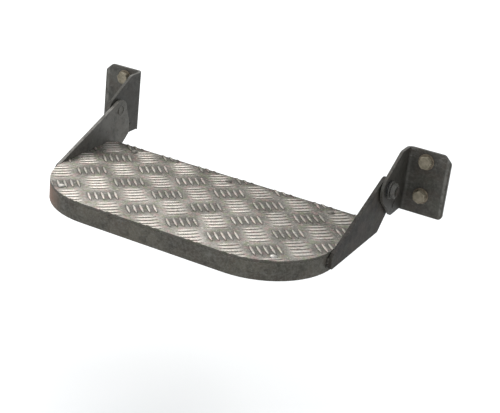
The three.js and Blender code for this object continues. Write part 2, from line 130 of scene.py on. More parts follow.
def make_camera():
    """The one camera, which looks down on the step from its front right."""
    back = Vector((
        math.sin(CAMERA_AZIMUTH) * math.cos(CAMERA_ELEVATION),
        -math.cos(CAMERA_AZIMUTH) * math.cos(CAMERA_ELEVATION),
        math.sin(CAMERA_ELEVATION),
    ))
    data = bpy.data.cameras.new("camera")
    data.lens = CAMERA_LENS
    data.sensor_width = 36
    camera = bpy.data.objects.new("camera", data)
    bpy.context.scene.collection.objects.link(camera)
    level = (-back).to_track_quat("-Z", "Y").to_matrix()
    tilted = level @ Matrix.Rotation(CAMERA_ROLL, 3, "Z")
    camera.matrix_world = Matrix.Translation(CAMERA_AIM + back * CAMERA_DISTANCE) @ tilted.to_4x4()
    bpy.context.scene.camera = camera


# ---- materials ------------------------------------------------------------------------------
class Shader:
    """One material, and short ways to add nodes to it."""

    def __init__(self, name, metallic, roughness):
        self.material = bpy.data.materials.new(name)
        self.material.use_nodes = True
        self.tree = self.material.node_tree
        self.bsdf = self.tree.nodes["Principled BSDF"]
        self.bsdf.inputs["Metallic"].default_value = metallic
        self.bsdf.inputs["Roughness"].default_value = roughness
        coordinates = self.node("ShaderNodeTexCoord")
        self.place = coordinates.outputs["Object"]
        self.facing = coordinates.outputs["Normal"]

    def node(self, kind, **settings):
        made = self.tree.nodes.new(kind)
        for name, value in settings.items():
            setattr(made, name, value)
        return made

    def feed(self, socket, value):
        if isinstance(value, bpy.types.NodeSocket):
            self.tree.links.new(value, socket)
        else:
            socket.default_value = value

    def calc(self, operation, a, b=0.0, c=0.0):
        """One step of arithmetic on numbers."""
        made = self.node("ShaderNodeMath", operation=operation)
        for socket, value in zip(made.inputs, (a, b, c)):
            self.feed(socket, value)
        return made.outputs[0]

    def axes(self, vector):
        made = self.node("ShaderNodeSeparateXYZ")
        self.feed(made.inputs[0], vector)
        return made.outputs

    def fade(self, value, start, end):
        """0 where value is at start, 1 where it is at end, with a soft step between."""
        made = self.node("ShaderNodeMapRange", interpolation_type="SMOOTHSTEP")
        self.feed(made.inputs["Value"], value)
        made.inputs["From Min"].default_value = start
        made.inputs["From Max"].default_value = end
        return made.outputs[0]

    def grain(self, size, detail=4.0, stretch=(1, 1, 1), rough=0.55, shift=0.0):
        """Noise whose lumps are about size metres across, drawn out along an axis by stretch."""
        scaled = self.node("ShaderNodeMapping")
        self.feed(scaled.inputs["Vector"], self.place)
        scaled.inputs["Scale"].default_value = [1 / (size * s) for s in stretch]
        scaled.inputs["Location"].default_value = (shift, shift, shift)
        made = self.node("ShaderNodeTexNoise")
        self.feed(made.inputs["Vector"], scaled.outputs[0])
        made.inputs["Scale"].default_value = 1.0
        made.inputs["Detail"].default_value = detail
        made.inputs["Roughness"].default_value = rough
        return made.outputs["Fac"]

    def colour(self, share, plain, other):
        """plain where share is 0, other where it is 1."""
        made = self.node("ShaderNodeMix", data_type="RGBA")
        self.feed(made.inputs[0], share)
        self.feed(made.inputs[6], plain)
        self.feed(made.inputs[7], other)
        return made.outputs[2]

    def number(self, share, plain, other):
        made = self.node("ShaderNodeMix", data_type="FLOAT")
        self.feed(made.inputs[0], share)
        self.feed(made.inputs[2], plain)
        self.feed(made.inputs[3], other)
        return made.outputs[0]

    def marked(self, name):
        """A number painted on the mesh's faces or points."""
        return self.node("ShaderNodeAttribute", attribute_name=name).outputs["Fac"]

    def relief(self, height, depth, under=None):
        """Bumps of that depth in metres; under is a relief that they lie on."""
        made = self.node("ShaderNodeBump")
        made.inputs["Distance"].default_value = depth
        self.feed(made.inputs["Height"], height)
        if under is not None:
            self.feed(made.inputs["Normal"], under)
        return made.outputs[0]

    def finish(self, base, metallic=None, roughness=None, normal=None):
        for name, value in (
            ("Base Color", base),
            ("Metallic", metallic),
            ("Roughness", roughness),
            ("Normal", normal),
        ):
            if value is not None:
                self.feed(self.bsdf.inputs[name], value)
        return self.material


def rgb(red, green, blue):
    return (red, green, blue, 1.0)


PAINT_SHEEN = 0.28  # specular level: old paint shines less than new
DUST = rgb(0.20, 0.175, 0.14)
RUST = rgb(0.16, 0.065, 0.028)
RUST_BLOOM = rgb(0.225, 0.095, 0.045)
BARE_STEEL = rgb(0.34, 0.32, 0.29)
PALE_PAINT = rgb(0.145, 0.140, 0.125)
SOOT_AND_SHADE = rgb(0.012, 0.011, 0.009)
# near black: random soot in the road dirt, and painted shade on the brackets' webs
SMEAR = rgb(0.13, 0.125, 0.112)
BROWNED_PAINT = rgb(0.052, 0.038, 0.028)
GREENED_PAINT = rgb(0.036, 0.040, 0.028)


def mottled_coat(s, dark, light):
    """Two shades of one paint in clouds, browned in places and greened in others."""
    clouds = s.fade(s.grain(45 * MM, 5), 0.35, 0.65)
    base = s.colour(clouds, dark, light)
    browned = s.fade(s.grain(22 * MM, 5, rough=0.65, shift=17.0), 0.45, 0.62)
    base = s.colour(s.calc("MULTIPLY", browned, 0.35), base, BROWNED_PAINT)
    greened = s.fade(s.grain(17 * MM, 5, rough=0.65, shift=23.0), 0.48, 0.64)
    return s.colour(s.calc("MULTIPLY", greened, 0.35), base, GREENED_PAINT)


def road_dirt(s, base, dustiness):
    """The colour under dust, smears, soot and fine scratches, and where the dust has settled."""
    up = s.fade(s.axes(s.facing)[2], 0.2, 0.95)
    film = s.fade(s.grain(9 * MM, 6, rough=0.7), 0.38, 0.72)
    settled = s.calc("MULTIPLY", s.calc("MULTIPLY_ADD", up, 0.75, 0.25), film)
    base = s.colour(s.calc("MULTIPLY", settled, dustiness), base, DUST)
    smears = s.fade(s.grain(9 * MM, 6, stretch=(1.6, 1.6, 0.7), rough=0.72, shift=4.0), 0.52, 0.70)
    base = s.colour(s.calc("MULTIPLY", smears, 2 * dustiness), base, SMEAR)
    mottle = s.fade(s.grain(3.5 * MM, 5, rough=0.75, shift=47.0), 0.42, 0.62)
    base = s.colour(s.calc("MULTIPLY", mottle, 1.5 * dustiness), base, SMEAR)
    sooty = s.fade(s.grain(12 * MM, 6, rough=0.7, shift=51.0), 0.50, 0.66)
    base = s.colour(s.calc("MULTIPLY", sooty, 0.45), base, SOOT_AND_SHADE)
    scratches = s.fade(s.grain(2.2 * MM, 3, stretch=(4, 4, 0.3), shift=14.0), 0.68, 0.74)
    return s.colour(s.calc("MULTIPLY", scratches, 0.06), base, BARE_STEEL), settled


def rust_freckles(s, base, rustiness):
    """The colour with freckles of rust in patches, and where they are."""
    freckles = s.fade(s.grain(3.2 * MM, 5, rough=0.75, shift=9.0), 0.60, 0.70)
    patches = s.fade(s.grain(38 * MM, 3, shift=2.0), 0.50, 0.66)
    rusty = s.calc("MULTIPLY", s.calc("MULTIPLY", freckles, patches), rustiness)
    return s.colour(rusty, base, RUST), rusty


def rusty_rim_end(s, base):
    """Rust that shows through the paint at the rim's left-hand end."""
    end = s.fade(s.axes(s.place)[0], RIM_LEFT + RIM_RUST_LENGTH, RIM_LEFT)
    bloom = s.fade(s.grain(11 * MM, 5, rough=0.7, shift=27.0), 0.24, 0.54)
    return s.colour(s.calc("MULTIPLY", s.calc("MULTIPLY", end, bloom), 0.85), base, RUST_BLOOM)


def bracket_marks(s, base):
    """A pale strip down the flange near its outer edge, scuffs near its top, and painted shade on the
    web's sideways faces.
    """
    x, _, z = s.axes(s.place)
    aside = s.calc("ABSOLUTE", s.calc("SUBTRACT", s.calc("ABSOLUTE", x), STRIP_X))
    strip = s.fade(aside, STRIP_FADED, STRIP_FULL)
    patchy = s.fade(s.grain(8 * MM, 5, rough=0.7, shift=41.0), 0.30, 0.60)
    base = s.colour(s.calc("MULTIPLY", s.calc("MULTIPLY", strip, patchy), 0.8), base, PALE_PAINT)
    above = s.fade(z, SCUFFS_START, SCUFFS_FULL)
    scuffs = s.fade(s.grain(7 * MM, 6, stretch=(1.6, 1, 0.8), rough=0.75, shift=43.0), 0.50, 0.66)
    base = s.colour(s.calc("MULTIPLY", s.calc("MULTIPLY", above, scuffs), 0.6), base, PALE_PAINT)
    # Painted shade: faces looking sideways, inboard of the strip, are darkened near to black.
    shaded_sideways = s.fade(s.calc("ABSOLUTE", s.axes(s.facing)[0]), 0.5, 0.95)
    shaded_inboard = s.fade(s.calc("ABSOLUTE", x), STRIP_X, STRIP_X - WEB_SHADE_FADE)
    return s.colour(s.calc("MULTIPLY", s.calc("MULTIPLY", shaded_sideways, shaded_inboard), 0.5), base, SOOT_AND_SHADE)


def worn_and_sheened_steel(s, base):
    """The colour with bare steel at chipped edges and on rubbed faces, and where that is. On the arms'
    tops this bare steel is partly a painted highlight.
    """
    chipped = s.fade(s.grain(2.4 * MM, 4, rough=0.7, shift=6.0), 0.46, 0.62)
    edge = s.calc("MULTIPLY", s.marked("edge"), chipped)
    scuffed = s.fade(s.grain(6 * MM, 6, stretch=(1, 3, 1), rough=0.75, shift=12.0), 0.36, 0.60)
    rubbed_and_sheen = s.calc("MULTIPLY", s.marked("rubbed_and_sheen"), scuffed)
    worn_and_sheen = s.calc("MAXIMUM", s.calc("MULTIPLY", edge, 0.25), rubbed_and_sheen)
    return s.colour(worn_and_sheen, base, BARE_STEEL), worn_and_sheen


def painted_steel(name, dark, light, roughness, dustiness, rustiness, marks=None):
    """Old brush-painted steel: uneven gloss, dust on upper faces, rust freckles, rubbed edges, and rubbed
    arm tops that are partly a painted highlight.
    marks(s, base) adds what one part alone shows."""
    s = Shader(name, 0.0, roughness)
    s.bsdf.inputs["Specular IOR Level"].default_value = PAINT_SHEEN
    base = mottled_coat(s, dark, light)
    base, settled = road_dirt(s, base, dustiness)
    base, rusty = rust_freckles(s, base, rustiness)
    if marks:
        base = marks(s, base)
    base, worn_and_sheen = worn_and_sheened_steel(s, base)

    gloss = s.calc("MULTIPLY_ADD", s.grain(14 * MM, 4, shift=3.0), 0.25, roughness - 0.12)
    gloss = s.number(s.calc("MAXIMUM", settled, rusty), gloss, 0.85)
    brushing = s.relief(s.grain(1.8 * MM, 3, stretch=(1, 1, 2.5)), 0.12 * MM)
    pits = s.relief(rusty, -0.15 * MM, brushing)
    chips = s.relief(worn_and_sheen, -0.1 * MM, pits)
    metal = s.calc("MULTIPLY", worn_and_sheen, 0.6)
    return s.finish(base, metal, gloss, chips)


def group_closeness(s, lead, turn):
    """1 on and 0 away from the groups of one set of chequer bars, with soft sides."""
    x, y, _ = s.axes(s.place)
    off = []
    for value, start in ((x, PATTERN_START.x), (y, PATTERN_START.y)):
        cells = s.calc("MULTIPLY_ADD", value, 1 / PATTERN_PITCH, -start / PATTERN_PITCH - lead)
        off.append(s.calc("SUBTRACT", cells, s.calc("ROUND", cells)))
    turned_y = s.calc("MULTIPLY", off[1], turn)
    diagonal = PATTERN_PITCH / math.sqrt(2)
    along = s.calc("ABSOLUTE", s.calc("MULTIPLY", s.calc("ADD", off[0], turned_y), diagonal))
    across = s.calc("ABSOLUTE", s.calc("MULTIPLY", s.calc("SUBTRACT", off[0], turned_y), diagonal))
    half_length = BAR_LENGTH / 2
    half_width = BARS_IN_GROUP / 2 * BAR_SPACING
    within_length = s.fade(along, half_length + 3 * MM, half_length - 7 * MM)
    within_width = s.fade(across, half_width + 3 * MM, half_width - 5 * MM)
    return s.calc("MULTIPLY", within_length, within_width)


def tread_dirt(s):
    """How dirty the tread is: much more towards its rear, a little more to its right, in patches."""
    x, y, _ = s.axes(s.place)
    low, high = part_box("tread_plate")
    rearward = s.fade(y, low.y, high.y)
    rightward = s.fade(x, low.x, high.x)
    slope = s.calc("MULTIPLY_ADD", rearward, 0.60, s.calc("MULTIPLY", rightward, 0.05))
    patches = s.fade(s.grain(42 * MM, 6, rough=0.66, shift=5.0), 0.32, 0.70)
    last_strip = s.fade(y, high.y - 16 * MM, high.y - 2 * MM)
    strewn = s.calc("MULTIPLY", last_strip, s.fade(s.grain(12 * MM, 5, rough=0.7, shift=33.0), 0.35, 0.60))
    return s.calc("MULTIPLY_ADD", strewn, 0.8, s.calc("MULTIPLY_ADD", patches, 0.60, slope))


# pale aluminium for bare worn patches, and for the painted highlight on the bars' crests
POLISH_AND_SHEEN_ALUMINIUM = rgb(0.54, 0.505, 0.455)
ROSY_ALUMINIUM = rgb(0.54, 0.42, 0.385)
CLEAN_ALUMINIUM = rgb(0.215, 0.204, 0.183)
DULL_ALUMINIUM = rgb(0.105, 0.099, 0.085)
# near black: grime, and painted shade between the bars and at their feet
GRIME_AND_SHADE = rgb(0.042, 0.039, 0.030)
PINK_STAIN = rgb(0.230, 0.150, 0.140)
GREEN_STAIN = rgb(0.130, 0.150, 0.085)


def weathered_aluminium(s, crest_polish_and_sheen):
    """Base colour, roughness and relief of old aluminium. crest is 1 where it is painted bright, partly as
    foot polish and partly as a painted highlight.
    """
    dirt = tread_dirt(s)
    base = s.colour(dirt, CLEAN_ALUMINIUM, DULL_ALUMINIUM)
    pink = s.fade(s.grain(9 * MM, 5, rough=0.7, shift=7.0), 0.49, 0.60)
    green = s.fade(s.grain(10 * MM, 5, rough=0.7, shift=15.0), 0.50, 0.60)
    base = s.colour(s.calc("MULTIPLY", pink, 0.7), base, PINK_STAIN)
    base = s.colour(s.calc("MULTIPLY", green, 0.7), base, GREEN_STAIN)
    blots = s.fade(s.grain(4 * MM, 5, rough=0.75, shift=31.0), 0.46, 0.62)
    base = s.colour(s.calc("MULTIPLY", blots, s.calc("MULTIPLY_ADD", dirt, 0.45, 0.3)), base, GRIME_AND_SHADE)
    bare = s.fade(s.grain(3.4 * MM, 5, rough=0.75, shift=37.0), 0.54, 0.66)
    base = s.colour(s.calc("MULTIPLY", bare, 0.5), base, POLISH_AND_SHEEN_ALUMINIUM)
    specks = s.fade(s.grain(1.6 * MM, 5, rough=0.8, shift=1.0), 0.56, 0.70)
    specks = s.calc("MULTIPLY", specks, s.calc("MULTIPLY_ADD", dirt, 0.6, 0.15))
    base = s.colour(specks, base, GRIME_AND_SHADE)
    # Painted highlight, partly foot polish: the crest takes a pale, rosy tint, less where dirt lies.
    tint = s.colour(s.calc("MULTIPLY", pink, 0.5), POLISH_AND_SHEEN_ALUMINIUM, ROSY_ALUMINIUM)
    kept_bright_and_lit = s.calc("MULTIPLY", crest_polish_and_sheen, s.calc("MULTIPLY_ADD", dirt, -0.42, 1.0))
    base = s.colour(kept_bright_and_lit, base, tint)

    scratches = s.grain(1.1 * MM, 4, stretch=(9, 0.35, 1), rough=0.7, shift=11.0)
    crossed = s.grain(1.3 * MM, 4, stretch=(0.4, 8, 1), rough=0.7, shift=13.0)
    roughness = s.number(crest_polish_and_sheen, s.calc("MULTIPLY_ADD", dirt, 0.22, 0.46), 0.38)
    normal = s.relief(scratches, 0.05 * MM)
    normal = s.relief(crossed, 0.05 * MM, normal)
    normal = s.relief(s.grain(12 * MM, 4, shift=8.0), 0.5 * MM, normal)
    return base, roughness, normal


def tread_plate_material():
    """The plate between the bars: painted bright round one set, partly foot polish and partly a painted
    highlight, and darkened round the other, partly grime and partly painted shade between those bars.
    """
    s = Shader("chequer_plate", 0.7, 0.45)
    top = s.fade(s.axes(s.facing)[2], 0.5, 0.9)
    bright_set = group_closeness(s, *BAR_SETS[0])
    dull_set = group_closeness(s, *BAR_SETS[1])
    # Painted highlight round the bright set, partly foot polish.
    swept_and_sheen = s.calc("MULTIPLY", s.calc("MULTIPLY", bright_set, top), 0.5)
    base, roughness, normal = weathered_aluminium(s, swept_and_sheen)
    # Painted shade between the duller set's bars, partly grime; the plate's upright faces are darkened
    # too.
    dull_set_shade = s.calc("MULTIPLY", dull_set, s.fade(s.grain(7 * MM, 4), 0.15, 0.55))
    gutter_shade = s.calc("MULTIPLY", dull_set_shade, s.calc("MULTIPLY", top, 0.55))
    side = s.fade(s.calc("ABSOLUTE", s.axes(s.facing)[2]), 0.75, 0.2)
    grime_and_shade = s.calc("MAXIMUM", gutter_shade, s.calc("MULTIPLY", side, 0.75))
    base = s.colour(grime_and_shade, base, GRIME_AND_SHADE)
    metal = s.number(grime_and_shade, 0.7, 0.2)
    return s.finish(base, metal, s.number(grime_and_shade, roughness, 0.75), normal)


def tread_bar_material():
    """The bars: crests painted bright as far as each group's polish and painted highlight reach, with dirt
    and painted shade along their feet.
    """
    s = Shader("chequer_bars", 0.7, 0.38)
    # Painted highlight on the bars' upper part, scaled by each group's polish and sheen.
    crest_polish_and_sheen = s.fade(s.axes(s.place)[2], 0.2 * BAR_HEIGHT, 0.9 * BAR_HEIGHT)
    crest_polish_and_sheen = s.calc("MULTIPLY", crest_polish_and_sheen, s.marked("polish_and_sheen"))
    crest_polish_and_sheen = s.calc("MULTIPLY", crest_polish_and_sheen, s.fade(s.grain(6 * MM, 4, shift=21.0), 0.15, 0.5))
    base, roughness, normal = weathered_aluminium(s, crest_polish_and_sheen)
    # Dirt and painted shade at the bars' feet, strongest on the duller set.
    foot = s.fade(s.axes(s.place)[2], 0.7 * BAR_HEIGHT, 0.0)
    unswept_and_shaded = s.calc("MULTIPLY_ADD", s.marked("polish_and_sheen"), -1.1, 1.15)
    base = s.colour(s.calc("MULTIPLY", foot, unswept_and_shaded), base, GRIME_AND_SHADE)
    return s.finish(base, 0.7, roughness, normal)


def plated_steel(name, bright, dull, stain, metallic, roughness):
    """Zinc plate or plain metal gone cloudy, with stains and fine tool marks."""
    s = Shader(name, metallic, roughness)
    clouds = s.fade(s.grain(5 * MM, 5), 0.35, 0.65)
    base = s.colour(clouds, bright, dull)
    spots = s.fade(s.grain(1.6 * MM, 5, rough=0.75, shift=5.0), 0.56, 0.68)
    base = s.colour(s.calc("MULTIPLY", spots, 0.7), base, stain)
    base = s.colour(s.calc("MULTIPLY", s.marked("edge"), 0.6), base, bright)
    rough = s.calc("MULTIPLY_ADD", s.grain(3 * MM, 4, shift=2.0), 0.3, roughness - 0.12)
    marks = s.relief(s.grain(0.6 * MM, 3), 0.03 * MM)
    dents = s.relief(spots, -0.06 * MM, marks)
    return s.finish(base, metallic, rough, dents)


# ---- meshes ---------------------------------------------------------------------------------
def add_piece(name, bm, material, body):
    """Turns a bmesh into a piece of the object. Edges over the sharp angle stay crisp."""
    bm.normal_update()
    for face in bm.faces:
        face.smooth = True
    for edge in bm.edges:
        edge.smooth = len(edge.link_faces) == 2 and edge.calc_face_angle(0) < SHARP_ANGLE
    data = bpy.data.meshes.new(name)
    bm.to_mesh(data)
    bm.free()
    data.materials.append(material)
    piece = bpy.data.objects.new(name, data)
    bpy.context.scene.collection.objects.link(piece)
    flatten = piece.modifiers.new("flat_faces", "WEIGHTED_NORMAL")
    flatten.keep_sharp = True
    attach(piece, body)
    return piece


def welded_copy(node):
    """The CAD node's own shape as one joined skin, with flat faces whole again."""
    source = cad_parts[node].data
    bm = bmesh.new()
    points = [bm.verts.new(vertex.co) for vertex in source.vertices]
    for polygon in source.polygons:
        bm.faces.new([points[i] for i in polygon.vertices])
    bmesh.ops.remove_doubles(bm, verts=bm.verts, dist=WELD_DISTANCE)
    bmesh.ops.dissolve_limit(bm, angle_limit=math.radians(1), verts=bm.verts, edges=bm.edges)
    bm.normal_update()
    return bm


def ease_edges(bm, width):
    """Rounds every sharp edge and marks the new faces as edge."""
    edge_mark = bm.faces.layers.float.new("edge")
    sharp = [e for e in bm.edges if len(e.link_faces) == 2 and e.calc_face_angle(0) > SHARP_ANGLE]
    made = bmesh.ops.bevel(
        bm, geom=sharp, offset=width, offset_type="OFFSET", segments=3,
        profile=0.5, affect="EDGES", clamp_overlap=True,
    )
    for face in made["faces"]:
        face[edge_mark] = 1.0
    bm.normal_update()


def dress(node, material, body, width, rubbed_and_sheen=None):
    """A CAD node with eased edges and a finish. rubbed(face) is 0 to 1 where paint is rubbed off; on the
    arms' tops it also stands for a painted highlight.
    """
    bm = welded_copy(node)
    ease_edges(bm, width)
    if rubbed_and_sheen:
        mark = bm.faces.layers.float.new("rubbed_and_sheen")
        for face in bm.faces:
            face[mark] = rubbed_and_sheen(face)
    piece = add_piece(node + "_shell", bm, material, body)
    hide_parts(node)
    return piece


def hexagon(apothem):
    """A limit on the radius that turns a round profile into a hexagonal one with a corner on +Y."""
    def limit(angle):
        sector = math.radians(60)
        return apothem / math.cos((angle + sector / 2) % sector - sector / 2)
    return limit


def turn_profile(bm, profile, closed, limit=None, thread=None, sides=ROUND):
    """Turns (radius, height) points about +Z. thread is the (low, high) heights that carry one."""
    rings = []
    for radius, height in profile:
        if radius == 0:
            rings.append([bm.verts.new((0, 0, height))])
            continue
        ring = []
        for i in range(sides):
            angle = 2 * math.pi * i / sides
            reach = min(radius, limit(angle)) if limit else radius
            if thread and thread[0] < height < thread[1]:
                turns = (height / THREAD_PITCH - i / sides) % 1.0
                reach -= THREAD_DEPTH * abs(2 * turns - 1)
            ring.append(bm.verts.new((reach * math.cos(angle), reach * math.sin(angle), height)))
        rings.append(ring)
    pairs = list(zip(rings, rings[1:]))
    if closed:
        pairs.append((rings[-1], rings[0]))
    for a, b in pairs:
        for i in range(sides):
            j = (i + 1) % sides
            if len(a) == 1:
                bm.faces.new((a[0], b[j], b[i]))
            elif len(b) == 1:
                bm.faces.new((a[i], a[j], b[0]))
            else:
                bm.faces.new((a[i], a[j], b[j], b[i]))


def outward(axis, origin, twist=0.0):
    """The matrix that stands a turned piece along axis at origin."""
    turn = Vector(axis).to_track_quat("Z", "X").to_matrix().to_4x4()
    return Matrix.Translation(origin) @ turn @ Matrix.Rotation(twist, 4, "Z")


def rounded_ring(inner, outer, low, high, ease):
    """The closed profile of a washer with its four edges eased."""
    corners = ((outer, low, -1, 1), (outer, high, -1, -1), (inner, high, 1, -1), (inner, low, 1, 1))
    points = []
    for k, (radius, height, inward, upward) in enumerate(corners):
        beside = (radius + inward * ease, height)
        above = (radius, height + upward * ease)
        third = ease * (1 - math.sqrt(0.5))
        middle = (radius + inward * third, height + upward * third)
        points += [beside, middle, above] if k % 2 == 0 else [above, middle, beside]
    return points


# ---- chequer bars ---------------------------------------------------------------------------
def bar_points(centre, direction):
    """A grid of points over one bar: pointed at both ends, crowned, dying into the plate."""
    side = Vector((-direction.y, direction.x))
    rows = []
    for i in range(BAR_LONG_CUTS + 1):
        t = -math.cos(math.pi * i / BAR_LONG_CUTS)
        half = max(BAR_WIDTH / 2 * (1 - t * t) ** 0.62, 0.05 * MM)
        crown = BAR_HEIGHT * (1 - abs(t) ** 3.5)
        row = []
        for j in range(BAR_CROSS_CUTS + 1):
            c = -math.cos(math.pi * j / BAR_CROSS_CUTS)
            flat = centre + direction * (t * BAR_LENGTH / 2) + side * (c * half)
            height = crown * (1 - c * c) ** 0.75 - 0.02 * MM
            row.append(Vector((flat.x, flat.y, height)))
        rows.append(row)
    return rows


def clip_to_tread(bm, edges):
    """Cuts off whatever lies outside the tread and closes the cut down to the plate."""
    for start, inward in edges:
        if all((v.co.xy - start).dot(inward) > 0 for v in bm.verts):
            continue
        cut = bmesh.ops.bisect_plane(
            bm, geom=bm.verts[:] + bm.edges[:] + bm.faces[:],
            plane_co=(start.x, start.y, 0), plane_no=(-inward.x, -inward.y, 0), clear_outer=True,
        )
        opened = [e for e in cut["geom_cut"] if isinstance(e, bmesh.types.BMEdge)]
        if not opened:
            continue
        wall = bmesh.ops.extrude_edge_only(bm, edges=opened)
        for vertex in (v for v in wall["geom"] if isinstance(v, bmesh.types.BMVert)):
            vertex.co.z = -0.05 * MM


def tread_edges():
    """(point, inward direction) in plan for the tread's four sides and its two round corners."""
    low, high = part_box("tread_plate")
    margin = 0.4 * MM  # the plate's eased edge
    corner = TREAD_CORNER - margin
    edges = []
    for x, inward in ((low.x + margin, 1), (high.x - margin, -1)):
        edges.append((Vector((x, 0)), Vector((inward, 0))))
    for y, inward in ((low.y + margin, 1), (high.y - margin, -1)):
        edges.append((Vector((0, y)), Vector((0, inward))))
    for side in SIDES.values():
        centre = Vector((side * (high.x - margin - corner), low.y + margin + corner))
        for k in range(1, TREAD_CORNER_CUTS):
            angle = math.radians(90 * k / TREAD_CORNER_CUTS)
            out = Vector((side * math.sin(angle), -math.cos(angle)))
            edges.append((centre + out * corner, -out))
    return edges


def make_chequer_bars(material):
    """All the groups of bars as one mesh. A number on its faces says how bright they are painted: partly
    foot polish, and partly a painted highlight that makes the set along +X+Y far brighter.
    """
    edges = tread_edges()
    whole = bmesh.new()
    whole.faces.layers.float.new("polish_and_sheen")
    polish_jitter = random.Random(3)
    for i in PATTERN_COLUMNS:
        for j in PATTERN_ROWS:
            for (lead, turn), polish_and_sheen in zip(BAR_SETS, SET_POLISH_AND_SHEEN):
                middle = PATTERN_START + PATTERN_PITCH * Vector((i + lead, j + lead))
                direction = Vector((1, turn)).normalized()
                add_group(whole, middle, direction, edges, polish_and_sheen + polish_jitter.uniform(-0.15, 0.05))
    add_piece("chequer_bars", whole, material, STEP)


def add_group(whole, middle, direction, edges, polish_and_sheen):
    """Five bars side by side, trimmed at the tread's edge."""
    mark = whole.faces.layers.float["polish_and_sheen"]
    side = Vector((-direction.y, direction.x))
    for k in range(BARS_IN_GROUP):
        centre = middle + side * (k - (BARS_IN_GROUP - 1) / 2) * BAR_SPACING
        points = bar_points(centre, direction)
        ends = (points[0][0].xy, points[-1][0].xy, centre)
        if any(all((p - start).dot(inward) < 0 for p in ends) for start, inward in edges):
            continue
        bar = bmesh.new()
        grid = [[bar.verts.new(p) for p in row] for row in points]
        for a, b in zip(grid, grid[1:]):
            for j in range(BAR_CROSS_CUTS):
                bar.faces.new((a[j], b[j], b[j + 1], a[j + 1]))
        clip_to_tread(bar, edges)
        placed = {v: whole.verts.new(v.co) for v in bar.verts}
        for face in bar.faces:
            whole.faces.new([placed[v] for v in face.verts])[mark] = polish_and_sheen
        bar.free()


# ---- fasteners ------------------------------------------------------------------------------
def hex_profile(apothem, low, high, chamfer_low):
    """(radius, height) points up a hexagonal head or nut, chamfered at the top and maybe below."""
    corner = apothem / math.cos(math.radians(30))
    face = apothem * 0.96  # radius of the round flat inside the chamfer
    drop = (corner - apothem) * math.tan(HEAD_CHAMFER) * 1.15
    rise = [(face + (corner - face) * k / 4, k / 4) for k in range(5)]
    up = [(radius, high - drop * share) for radius, share in rise]
    down = [(corner, low)]
    if chamfer_low:
        down = [(radius, low + drop * share) for radius, share in rise]
    return down + up[::-1]


def make_mount_bolt(name, material, twist):
    """A hexagon-headed bolt with its thread behind, in its CAD node's place."""
    low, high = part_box(name)
    centre = (low + high) / 2
    apothem = (high.x - low.x) / 2
    head_back = low.y + MOUNT_HEAD_HEIGHT
    shank = high.y - head_back
    cuts = int(shank / THREAD_PITCH * 4)
    profile = [(0, -shank), (MOUNT_SHANK_RADIUS - THREAD_DEPTH, -shank)]
    for k in range(1, cuts):
        profile.append((MOUNT_SHANK_RADIUS, -shank + shank * k / cuts))
    profile.append((MOUNT_SHANK_RADIUS, 0))
    profile += hex_profile(apothem, 0, MOUNT_HEAD_HEIGHT, False)
    dish = apothem * 0.80
    dish_floor = MOUNT_HEAD_HEIGHT - 0.25 * MM
    profile += [(dish, MOUNT_HEAD_HEIGHT), (dish * 0.97, dish_floor), (0, dish_floor)]
    bm = bmesh.new()
    thread = (-shank, -3 * MM)
    turn_profile(bm, profile, False, limit=hexagon(apothem), thread=thread, sides=60)
    bm.transform(outward((0, -1, 0), (centre.x, head_back, centre.z), twist))
    piece = add_piece(name + "_turned", bm, material, MOUNT)
    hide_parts(name)


def make_ring(node, material, body, inner, ease, dish=0.0):
    """A washer or bush that replaces its CAD node. Its axis is the node's thinnest direction."""
    low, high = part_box(node)
    size = high - low
    centre = (low + high) / 2
    axis = min(range(3), key=lambda k: size[k])
    along = Vector((0, 0, 0))
    along[axis] = -1 if axis == 1 else math.copysign(1, centre.x)
    outer = size[(axis + 1) % 3] / 2
    half = (size[axis] - dish) / 2
    profile = rounded_ring(inner, outer, -half, half, ease)
    profile = [(r, h + dish * ((outer - r) / (outer - inner) - 0.5)) for r, h in profile]
    bm = bmesh.new()
    turn_profile(bm, profile, True)
    bm.transform(outward(along, centre))
    piece = add_piece(node + "_turned", bm, material, body)
    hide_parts(node)


def stand_outwards(bm, node, side, material, body, twist=0.0):
    """Puts a turned piece along X, from its CAD node's inner end outwards, instead of that node."""
    low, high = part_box(node)
    centre = (low + high) / 2
    near = low.x if side > 0 else high.x
    bm.transform(outward((side, 0, 0), (near, centre.y, centre.z), twist))
    piece = add_piece(node + "_turned", bm, material, body)
    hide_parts(node)


def make_pivot_nut(node, side, material):
    low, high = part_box(node)
    height = high.x - low.x
    apothem = (high.y - low.y) / 2
    bore = STUD_RADIUS + 0.15 * MM
    mouth = bore + 0.9 * MM
    sink = 0.8 * MM
    profile = hex_profile(apothem, 0, height, True)
    profile += [(mouth, height), (bore, height - sink), (bore, sink), (mouth, 0)]
    bm = bmesh.new()
    turn_profile(bm, profile, True, limit=hexagon(apothem), sides=60)
    stand_outwards(bm, node, side, material, STEP, math.radians(12))


def make_pivot_stud(node, side, material):
    """A stud threaded for the last part of its length."""
    low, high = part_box(node)
    length = high.x - low.x
    threaded = 11 * MM
    cuts = int(threaded / THREAD_PITCH * 4)
    profile = [(0, 0), (STUD_RADIUS - 0.3 * MM, 0), (STUD_RADIUS, 0.3 * MM)]
    for k in range(cuts):
        profile.append((STUD_RADIUS, length - threaded * (1 - k / cuts)))
    profile += [(STUD_RADIUS - THREAD_DEPTH, length), (0, length)]
    bm = bmesh.new()
    turn_profile(bm, profile, False, thread=(length - threaded, length))
    stand_outwards(bm, node, side, material, STEP)


def make_stop_pin(node, side, material):
    low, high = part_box(node)
    radius = (high.z - low.z) / 2
    length = high.x - low.x
    ease = 0.5 * MM
    profile = [(0, 0), (radius - ease, 0), (radius, ease), (radius, length - ease)]
    profile += [(radius - ease, length), (0, length)]
    bm = bmesh.new()
    turn_profile(bm, profile, False)
    stand_outwards(bm, node, side, material, MOUNT)


